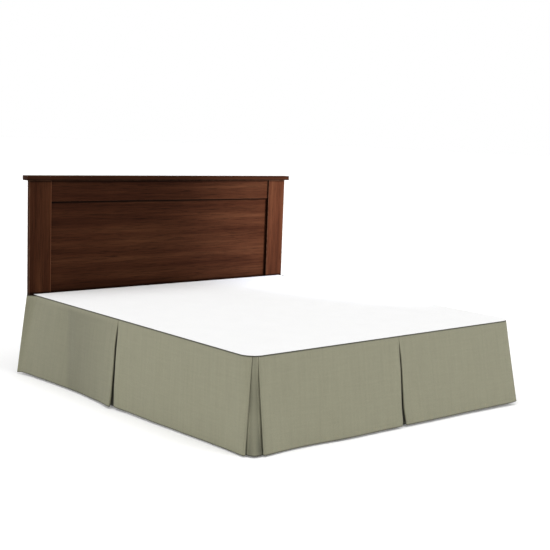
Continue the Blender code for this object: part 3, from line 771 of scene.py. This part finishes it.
def woven(name, colour, pitch, contrast, hem_line=None, sheen=0.1, streaks=0.12):
    """Plain weave at its real size, with slubs, mottling and stitch lines; with a hem line also
    the painted shade and light of the `tone` attribute, and painted shade by seam and hem.
    """
    m = Shading(name, 0.9, Specular_IOR_Level=0.25, Sheen_Weight=sheen, Sheen_Roughness=0.5)
    uv = m.add("ShaderNodeUVMap", {"uv_map": "cloth"}).outputs["UV"]
    parts = m.add("ShaderNodeSeparateXYZ", None, Vector=uv)
    u, v = parts.outputs["X"], parts.outputs["Y"]
    warp = m.math("SINE", m.math("MULTIPLY", u, math.pi / pitch))
    weft = m.math("SINE", m.math("MULTIPLY", v, math.pi / (pitch * 1.1)))
    over = m.math("MULTIPLY_ADD", m.math("MULTIPLY", warp, weft), 3.0, 0.5)
    over = m.add("ShaderNodeClamp", None, Value=over).outputs[0]
    under = m.math("SUBTRACT", 1.0, over)
    thread = m.weighed(m.math("ABSOLUTE", warp), over, m.math("ABSOLUTE", weft), under)
    tone = m.weighed(m.noise(uv, (0.9 / pitch, 55.0, 1.0), 1.0), over,
                     m.noise(uv, (55.0, 0.9 / pitch, 1.0), 1.0), under)
    mottle = m.noise(uv, 7.0, 4.0, 0.6)
    streak = m.noise(uv, (64.0, 3.2, 1.0), 4.0, 0.65)
    across = m.noise(uv, (7.0, 90.0, 1.0), 3.0, 0.6)
    shade = colour
    for value, darker, lighter in ((tone, contrast, contrast),
                                   (thread, contrast * 0.9, contrast * 0.45),
                                   (mottle, 0.025, 0.025), (streak, streaks, streaks),
                                   (across, 0.65 * streaks, 0.65 * streaks)):
        shade = m.tinted(shade, value, 1 - darker, 1 + lighter)
    height = m.math("MULTIPLY_ADD", tone, 0.35, thread)
    if hem_line is not None:
        # painted shade and painted light, from the pieces' tone
        shade = m.times(shade, m.attribute("tone"))
        # dashes of thread in the stitch line, with a pinch between them
        from_line = m.math("ABSOLUTE", m.math("SUBTRACT", v, hem_line))
        on_line = m.math("LESS_THAN", from_line, STITCH_HALF)
        along = m.math("FRACT", m.math("DIVIDE", u, STITCH))
        dash = m.math("LESS_THAN", along, STITCHED_SHARE)
        stitch = m.math("MULTIPLY", on_line, dash)
        pinch = m.math("MULTIPLY", on_line, m.math("SUBTRACT", 1.0, dash))
        shade = m.tinted(m.tinted(shade, stitch, 1.0, 1.1), pinch, 1.0, 0.55)
        height = m.math("MULTIPLY_ADD", stitch, 0.8, height)
        # painted shade along the seam and along the hem
        shade = m.painted_shading(shade, v, SEAM_SHADE_REACH, TIGHT_SEAM, SEAM_TONE)
        shade = m.painted_shading(shade, v, DROP - HEM_SHADE_REACH, DROP - TIGHT_HEM, HEM_TONE)
    return m.finish(shade, height, pitch * 0.28, m.mapped(mottle, 0.84, 0.96), 0.7)


# The stain from its darkest to its lightest grain, and its edges' lighter colour, partly wear
# and partly painted highlight
STAIN = ((0.3, (0.0215, 0.006, 0.0026)), (0.45, (0.0355, 0.0108, 0.0046)),
         (0.56, (0.0505, 0.0168, 0.0071)), (0.7, (0.079, 0.0295, 0.0126)))
WEAR_AND_HIGHLIGHT_STAIN = (0.15, 0.075, 0.042)


def boards(name, along, offset, wear_and_highlight, tone, shades, back):
    """Board with a dark stain, its grain along one axis, semi-gloss, its edges lighter by a
    share, partly wear and partly painted highlight. `shades` are places, as (axis, from, to,
    tone), of painted shade against a neighbour, and painted light where the tone is above 1, in
    front of
    `back`."""
    m = Shading(name, 0.42, Specular_IOR_Level=0.025)
    place = m.object_place()

    def grain(slow, fast, *settings):
        scale = (slow, fast, fast) if along == "x" else (fast, fast, slow)
        return m.noise(place, scale, *settings, offset=offset)

    bend = m.noise(place, (0.9, 1.5, 1.2), offset=offset)
    bands = grain(0.7, 17.0, 6.0, 0.62, 0.15)
    pores = grain(9.0, 420.0, 2.0, 0.55)
    fibres = grain(9.0 * 0.35, 420.0 * 0.35, 3.0, 0.6)
    figure = m.ramp(m.weighed(bands, 0.75, bend, 0.25), *STAIN)
    colour = m.tinted(figure, fibres, 0.66 * tone, 1.34 * tone)
    dark_pores = m.ramp(pores, (0.33, 0.45), (0.45, 1.0))
    colour = m.blend(1.0, colour, dark_pores, "MULTIPLY")
    split = m.add("ShaderNodeSeparateXYZ", None, Vector=place)
    # painted shade and painted light, on the board's front only
    with_painted_shading = colour
    for axis, start, end, shade in shades:
        with_painted_shading = m.painted_shading(with_painted_shading, split.outputs[axis], start, end, shade)
    colour = m.blend(m.math("LESS_THAN", split.outputs["Y"], back), colour, with_painted_shading)
    patch = m.noise(place, (30.0, 30.0, 30.0), 3.0, offset=offset)
    # lighter edges: partly wear, partly painted highlight
    wear_and_highlight_mask = m.math("MULTIPLY", m.attribute("edge_wear_and_highlight"), m.ramp(patch, (0.35, 0.25), (0.65, 1.0)))
    colour = m.blend(m.math("MULTIPLY", wear_and_highlight_mask, wear_and_highlight), colour, WEAR_AND_HIGHLIGHT_STAIN)
    height = m.weighed(fibres, 0.5, dark_pores, 0.5)
    return m.finish(colour, height, 0.00012, m.mapped(fibres, 0.34, 0.56), 0.8)


def painted_metal():
    """Near-black satin paint, a little dusty and scuffed."""
    m = Shading("frame_paint_satin", 0.45, Specular_IOR_Level=0.4)
    place = m.object_place()
    peel = m.noise(place, 900.0)
    dust = m.noise(place, 14.0, 5.0, 0.65)
    scuff = m.noise(place, (40.0, 40.0, 260.0), 4.0, 0.7)
    colour = m.ramp(dust, (0.35, (0.021, 0.018, 0.017)), (0.62, (0.04, 0.036, 0.033)))
    colour = m.blend(m.ramp(scuff, (0.66, 0.0), (0.76, 0.5)), colour, (0.11, 0.1, 0.095))
    return m.finish(colour, peel, 0.0001, m.mapped(dust, 0.36, 0.62), 0.5)


# The corner and insert cloths are darker copies of the face's cloth: painted shade in the
# pleats.
face_cloth, corner_cloth, insert_cloth = (
    woven(name + "_cloth_weave", colour, 0.0008, 0.16, DROP - HEM)
    for name, colour in (("face", (0.262, 0.255, 0.178)), ("corner", (0.208, 0.203, 0.142)),
                         ("insert", (0.24, 0.225, 0.175))))
deck_cloth = woven("deck_cloth_weave", (0.84, 0.84, 0.838), 0.0005, 0.05, sheen=0.05,
                   streaks=0.012)
ticking = woven("ticking_weave", (0.78, 0.76, 0.71), 0.0007, 0.08, sheen=0.05,
                streaks=0.02)
frame_paint = painted_metal()


# ---- skirt
def make_skirt():
    for name, panel in (("left_head", HEAD_HALF), ("left_foot", LEFT_FOOT_HALF),
                        ("foot_left", FOOT_LEFT), ("foot_right", FOOT_RIGHT),
                        ("right_foot", RIGHT_FOOT_HALF), ("right_head", RIGHT_HEAD_HALF)):
        hang("cloth_" + name, "drop_" + name, panel, name.split("_")[0], face_cloth)
    for side, insert in (("left", SIDE_INSERT), ("foot", FOOT_INSERT), ("right", SIDE_INSERT)):
        hang("insert_" + side, "underlay_" + side, insert, side, insert_cloth)
    for side, corner in (("corner_left", LEFT_CORNER), ("corner_right", RIGHT_CORNER)):
        hang("insert_" + side, "underlay_" + side, corner, side, corner_cloth)


# Soft lines on the deck sheet: through (x, y), turned by degrees, width and height
DECK_CREASES = ((-0.33, 0.1, 90, 0.02, 0.0008), (0.31, 0, 90, 0.02, 0.0007),
                (0, -0.36, 0, 0.022, 0.0008), (0, 0.34, 0, 0.02, 0.0007),
                (-0.55, -0.7, 28, 0.05, 0.0009), (0.62, -0.55, -37, 0.06, 0.0008),
                (0.4, 0.7, 18, 0.05, 0.0008), (-0.6, 0.6, -24, 0.055, 0.0007))
FOLD_LINE_REACH, CREASE_REACH = 0.95, 0.22  # half as long as they are
DECK_TIGHT, DECK_SLACK = 0.012, 0.05  # the sheet lies flat by its edges, then less so
# The sheet's columns and rows by its edges, with their rounding and stitch line
DECK_NEAR = (0, 0.0001, 0.0004, 0.0009, 0.0025, 0.0065, 0.0073, 0.008, 0.0087, 0.0095, 0.014)
DECK_STITCH = 0.008
DECK_STEP = 0.0135  # between its other rows and columns
DECK_TURNS = range(84, 0, -6)  # degrees round its foot corners, with a row for each
RIPPLE = 0.0003  # half the height of its slow ripples


def deck_edge_distance(x, y):
    """How far a point of the deck sheet lies inside its rounded outline."""
    to_side, to_head, to_foot = HALF_WIDTH - abs(x), HALF_LENGTH - y, HALF_LENGTH + y
    if to_side < CORNER_RADIUS and to_foot < CORNER_RADIUS:
        return CORNER_RADIUS - math.hypot(CORNER_RADIUS - to_side, CORNER_RADIUS - to_foot)
    return min(to_side, to_head, to_foot)


def deck_plan():
    """The deck sheet's grid, its rows as long as its rounded foot corners leave them."""
    edge = DECK_NEAR[-1]
    turned = [CORNER_RADIUS * (1 - math.sin(math.radians(angle))) for angle in DECK_TURNS]
    foot_rows = sorted(set(list(DECK_NEAR) + [row for row in turned if row > edge]
                           + [CORNER_RADIUS]))
    first, last = -HALF_LENGTH + foot_rows[-1], HALF_LENGTH - edge
    count = round(2 * (HALF_WIDTH - edge) / DECK_STEP)
    rows = []
    for y in (*(-HALF_LENGTH + row for row in foot_rows),
              *steps(first, last, round((last - first) / DECK_STEP)),
              *(HALF_LENGTH - row for row in reversed(DECK_NEAR))):
        half, to_foot = HALF_WIDTH, HALF_LENGTH + y
        if to_foot < CORNER_RADIUS:
            half += math.sqrt(CORNER_RADIUS**2 - (CORNER_RADIUS - to_foot) ** 2) - CORNER_RADIUS
        xs = (*(-half + step for step in DECK_NEAR),
              *(share * (half - edge) for share in steps(-1, 1, count)),
              *(half - step for step in reversed(DECK_NEAR)))
        rows.append([(x, y) for x in xs])
    return np.array(rows)


def deck_lift(xs, ys):
    """The deck sheet's fold lines, creases and slow ripples."""
    lift = np.zeros(xs.shape)
    for x, y, turn, width, height in DECK_CREASES:
        angle = math.radians(turn)
        aside = -(xs - x) * math.sin(angle) + (ys - y) * math.cos(angle)
        ahead = (xs - x) * math.cos(angle) + (ys - y) * math.sin(angle)
        far = np.exp(-(ahead / (FOLD_LINE_REACH if turn in (0, 90) else CREASE_REACH)) ** 4)
        lift += height * np.exp(-(aside / width) ** 2) * far
    return lift + RIPPLE * (1 + np.sin(xs * 21 + 2 * np.sin(ys * 5))
                            * np.sin(ys * 17 + 1.5 * np.sin(xs * 7)))


def make_deck():
    """The deck sheet, which lies on the box spring, tight along its stitched edges."""
    plan = deck_plan()
    distance = np.array([[max(deck_edge_distance(x, y), 0.0) for x, y in row]
                         for row in plan.tolist()])
    lift = deck_lift(plan[..., 0], plan[..., 1])
    lift *= np.clip((distance - DECK_TIGHT) / DECK_SLACK, 0.0, 1.0) ** 1.5
    height = DECK_TOP - CLOTH / 2 + lift
    points = np.concatenate([plan + (0.0, CENTRE_Y), height[..., None]], axis=-1)
    keep = edge_round(distance)
    outside = (CLOTH / 2 - groove(distance - DECK_STITCH)) * keep
    mesh = sheet_mesh("cloth_deck", points, outside, CLOTH / 2 * keep, plan)
    piece = add_piece("cloth_deck", mesh, deck_cloth, "deck_cloth", "deck_sheet")


# ---- box spring
CORD = 0.0035  # radius of the piping along its edges
COVER_WALL = 0.0016  # how far its walls stand in halfway up
COVER_BULGE = 0.0012  # and how much further by the piping
COVER_BEND = 0.012  # radius of its head corners
COVER_STEP = 0.04  # longest step round it


def polar(radius, degrees):
    """How far aside and up a point of a circle lies."""
    turn = math.radians(degrees)
    return radius * math.cos(turn), radius * math.sin(turn)


def cover_outline(low, high, inset):
    """The box spring's outline, with the deck's rounding at its foot corners."""
    radius = CORNER_RADIUS - (HALF_WIDTH - high.x)
    points = []
    for x, y, bend, count, first in (
            (high.x, high.y, COVER_BEND, 5, 0), (low.x, high.y, COVER_BEND, 5, 90),
            (low.x, low.y, radius, 14, 180), (high.x, low.y, radius, 14, 270)):
        centre_x = x - math.copysign(bend, x)
        centre_y = y - math.copysign(bend, y - CENTRE_Y)
        for step in range(count + 1):
            aside, up = polar(bend - inset, first + 90 * step / count)
            points.append((centre_x + aside, centre_y + up))
    dense = []
    for here, there in zip(points, points[1:] + points[:1]):
        count = max(1, round(math.dist(here, there) / COVER_STEP))
        dense += [(mix(here[0], there[0], i / count), mix(here[1], there[1], i / count))
                  for i in range(count)]
    return dense


def piping(height, turns):
    """The cover round a cord at a height, as (inset, height)."""
    return [(CORD + aside, height - up) for aside, up in (polar(CORD, turn) for turn in turns)]


def cover_profile(bottom, top):
    """The box spring's cover from its underside to its top, as (inset, height)."""
    wall = [(COVER_WALL + COVER_BULGE * (1 - math.sin(math.pi * share)) ** 2,
             mix(bottom + 2 * CORD, top - 2 * CORD, share))
            for share in (0.03, 0.07, 0.15, 0.3, 0.5, 0.7, 0.85, 0.93, 0.97)]
    return ([(0.09, bottom + 0.0022), (0.03, bottom + 0.0018), (2.0 * CORD, bottom + 0.0016)]
            + piping(bottom + CORD, range(60, 241, 30)) + wall
            + piping(top - CORD, range(120, 301, 30))
            + [(2.0 * CORD, top - 0.0012), (0.03, top - 0.0004), (0.09, top)])


def lengths_along(points):
    """How far along a line each of its points is."""
    lengths = [0.0]
    for here, there in zip(points, points[1:]):
        lengths.append(lengths[-1] + math.dist(here, there))
    return lengths


def make_box_spring():
    low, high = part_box("box_spring")
    profile = cover_profile(low.z, high.z)
    base = cover_outline(low, high, 0.0)
    perimeter, lengths = lengths_along(base + base[:1]), lengths_along(profile)
    shell = bmesh.new()
    layer = shell.loops.layers.uv.new("cloth")
    rings = [[shell.verts.new((x, y, height)) for x, y in cover_outline(low, high, inset)]
             for inset, height in profile]
    for level, (lower, upper) in enumerate(zip(rings, rings[1:])):
        for i in range(len(lower)):
            j = (i + 1) % len(lower)
            side = shell.faces.new((lower[i], lower[j], upper[j], upper[i]))
            spots = ((i, level), (i + 1, level), (i + 1, level + 1), (i, level + 1))
            for loop, (column, row) in zip(side.loops, spots):
                loop[layer].uv = (perimeter[column], lengths[row])
    for ring in (rings[0], rings[-1]):
        cap = shell.faces.new(ring)
        for loop in cap.loops:
            loop[layer].uv = loop.vert.co.xy
    add_piece("box_spring_cover", mesh_of(shell, "box_spring_cover"), ticking, "ticking",
              "box_spring")


# ---- headboard
BOARD_ROUND = 0.0022  # rounding of its edges
BOARD_INSET = 0.004  # its faces are cut this close to their edges


def make_board(name, along, offset, wear_and_highlight, tone, shades):
    """A board with softly broken edges, which carry its wear and a painted highlight."""
    low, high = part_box("headboard_" + name)
    body = bmesh.new()
    bmesh.ops.create_cube(body, size=1.0)
    for vertex in body.verts:
        vertex.co = [mix(low[axis], high[axis], vertex.co[axis] + 0.5) for axis in range(3)]
    thickness = (high - low)[1]
    inset, rounding = min(BOARD_INSET, thickness / 3), min(BOARD_ROUND, thickness / 4)
    for axis in range(3):
        direction = Vector([float(other == axis) for other in range(3)])
        for place in (low[axis] + inset, high[axis] - inset):
            bmesh.ops.bisect_plane(body, geom=body.verts[:] + body.edges[:] + body.faces[:],
                                   plane_co=direction * place, plane_no=direction)
    sharp = [edge for edge in body.edges
             if len(edge.link_faces) == 2 and edge.calc_face_angle() > math.radians(60)]
    bmesh.ops.bevel(body, geom=sharp, offset=rounding, segments=4, profile=0.5,
                    affect="EDGES", clamp_overlap=True)
    mesh = mesh_of(body, "board_" + name)
    edge_wear_and_highlight = mesh.attributes.new("edge_wear_and_highlight", "FLOAT", "POINT")
    for vertex, wear_and_highlight_mask in zip(mesh.vertices, edge_wear_and_highlight.data):
        close = [min(vertex.co[axis] - low[axis], high[axis] - vertex.co[axis])
                 < rounding * 1.05 for axis in range(3)]
        wear_and_highlight_mask.value = 1.0 if sum(close) >= 2 else 0.0
    mesh.set_sharp_from_angle(angle=math.radians(50))
    material = boards("board_" + name + "_grain", along, offset, wear_and_highlight, tone, shades,
                      high.y - inset)
    add_piece("board_" + name, mesh, material, "walnut", "headboard_" + name)


def make_headboard():
    """Its boards, with painted shade where they meet and by the deck, and a painted highlight
    along one edge.
    """
    under_cap, under_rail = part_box("headboard_cap")[0].z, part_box("headboard_top_rail")[0].z
    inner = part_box("headboard_stile_right")[0].x
    # painted shadows under the cap and rail and by the deck, painted shade by the stiles and on
    # the right stile's inner face, and a painted highlight by the left stile's inner edge
    cap_foot = ("Z", under_cap + 0.01, under_cap + 0.004, 0.4)
    by_cap = ("Z", under_cap - 0.016, under_cap - 0.004, 0.35)
    by_deck = ("Z", DECK_TOP + 0.014, DECK_TOP + 0.006, 0.4)
    by_rail = ("Z", under_rail - 0.018, under_rail - 0.005, 0.2)
    by_left = ("X", 0.012 - inner, 0.003 - inner, 0.45)
    by_right = ("X", inner - 0.01, inner - 0.002, 0.3)
    side_face = ("X", inner + 0.0022, inner + 0.001, 0.25)
    painted_edge_highlight = ("X", -inner - 0.007, -inner - 0.004, 2.3)
    # the cap's tone is lowered as painted shade and the right stile's raised as painted light
    for name, along, offset, wear_and_highlight, tone, shades in (
            ("cap", "x", (3.1, 0.7, 5.3), 0.2, 0.78, (cap_foot,)),
            ("top_rail", "x", (11.4, 2.9, 1.7), 0.1, 1.0, (by_cap, by_right)),
            ("bottom_rail", "x", (7.7, 5.1, 9.2), 0.1, 1.0, ()),
            ("panel", "x", (1.3, 8.2, 13.6), 0.1, 1.0, (by_rail, by_deck, by_left, by_right)),
            ("stile_left", "z", (5.9, 3.3, 2.4), 0.6, 1.0, (by_cap, by_deck, painted_edge_highlight)),
            ("stile_right", "z", (9.6, 6.4, 7.1), 0.35, 1.35, (by_cap, by_deck, side_face))):
        make_board(name, along, offset, wear_and_highlight, tone, shades)


def finish_frame():
    for name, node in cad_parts.items():
        if name.startswith(("frame_", "leg_")):
            for spot in node.material_slots:
                spot.material = frame_paint


# ---- camera and light
def heading(turn, rise):
    """A direction, turned from +Y towards +X and raised, in degrees."""
    turn, rise = math.radians(turn), math.radians(rise)
    return Vector((math.cos(rise) * math.sin(turn), math.cos(rise) * math.cos(turn),
                   math.sin(rise)))


def place_camera():
    ahead, roll = heading(CAMERA_YAW, CAMERA_PITCH), math.radians(CAMERA_ROLL)
    level = ahead.cross(Vector((0, 0, 1))).normalized()
    up = level.cross(ahead)
    right = math.cos(roll) * level + math.sin(roll) * up
    top = -math.sin(roll) * level + math.cos(roll) * up
    data = bpy.data.cameras.new("camera")
    data.sensor_width = SENSOR
    data.lens = CAMERA_FOCAL / PHOTO_SIDE * SENSOR
    data.clip_end = 200.0
    camera = put("camera", data)
    turned = Matrix((right, top, -ahead)).transposed().to_4x4()
    camera.matrix_world = Matrix.Translation(CAMERA_AT) @ turned
    scene.camera = camera


def add_light(name, kind, ahead, **settings):
    """A light that shines in a direction."""
    data = bpy.data.lights.new(name, kind)
    for key, value in settings.items():
        setattr(data, key, value)
    light = put(name, data)
    light.rotation_euler = (-ahead).to_track_quat("Z", "Y").to_euler()
    return light


# Soft even light: its turn (0 from the foot, 90 from the left) and rise, strength, softness
SUNS = {"front_right": (-30, -36, 1.15, 40), "left": (94, -26, 1.08, 50),
        "top": (0, -90, 1.62, 60)}
# A soft box with a grid, for the right end of the headboard
BOX_AT, BOX_AIM = Vector((0.9, -1.0, 1.15)), Vector((1.15, CENTRE_Y + 1.0, 0.92))
BOX = {"size": 0.4, "size_y": 0.6, "energy": 14, "spread": math.radians(60),
       "color": (0.92, 1.0, 1.22)}
AMBIENT = 0.3
FLOOR_REACH = 90.0


def light_studio():
    world = bpy.data.worlds.new("studio")
    scene.world = world
    world.use_nodes = True
    nodes, links = world.node_tree.nodes, world.node_tree.links
    soft, seen = nodes["Background"], nodes.new("ShaderNodeBackground")
    for lit in (soft, seen):
        lit.inputs["Color"].default_value = (1.0, 1.0, 1.0, 1.0)
    soft.inputs["Strength"].default_value = AMBIENT
    path = nodes.new("ShaderNodeLightPath")
    either = nodes.new("ShaderNodeMixShader")
    for socket, output in zip(either.inputs, (path.outputs["Is Camera Ray"], soft.outputs[0],
                                              seen.outputs[0])):
        links.new(output, socket)
    links.new(either.outputs[0], nodes["World Output"].inputs["Surface"])

    for name, (turn, rise, strength, softness) in SUNS.items():
        add_light(name, "SUN", heading(turn, rise), energy=strength,
                  angle=math.radians(softness))
    box = add_light("board_right", "AREA", BOX_AIM - BOX_AT, shape="RECTANGLE", **BOX)
    box.location = BOX_AT
    box.visible_camera = box.visible_glossy = False


def lay_floor():
    mesh = bpy.data.meshes.new("floor")
    mesh.from_pydata([(x * FLOOR_REACH, y * FLOOR_REACH, 0)
                      for x, y in ((-1, -1), (1, -1), (1, 1), (-1, 1))], [], [(0, 1, 2, 3)])
    m = Shading("floor_pale", 0.85, Specular_IOR_Level=0.1, Emission_Strength=0.15,
                Emission_Color=(1.0, 1.0, 1.0))
    grain = m.noise(m.object_place(), 3.0, 3.0)
    tone = m.tinted((0.93, 0.93, 0.93), grain, 0.995, 1.005)
    mesh.materials.append(m.finish(tone, grain, 0.0002, strength=0.1))
    put("floor", mesh)


place_camera()
light_studio()
lay_floor()
scene.view_settings.view_transform = "Standard"
make_skirt()
make_deck()
make_box_spring()
make_headboard()
finish_frame()
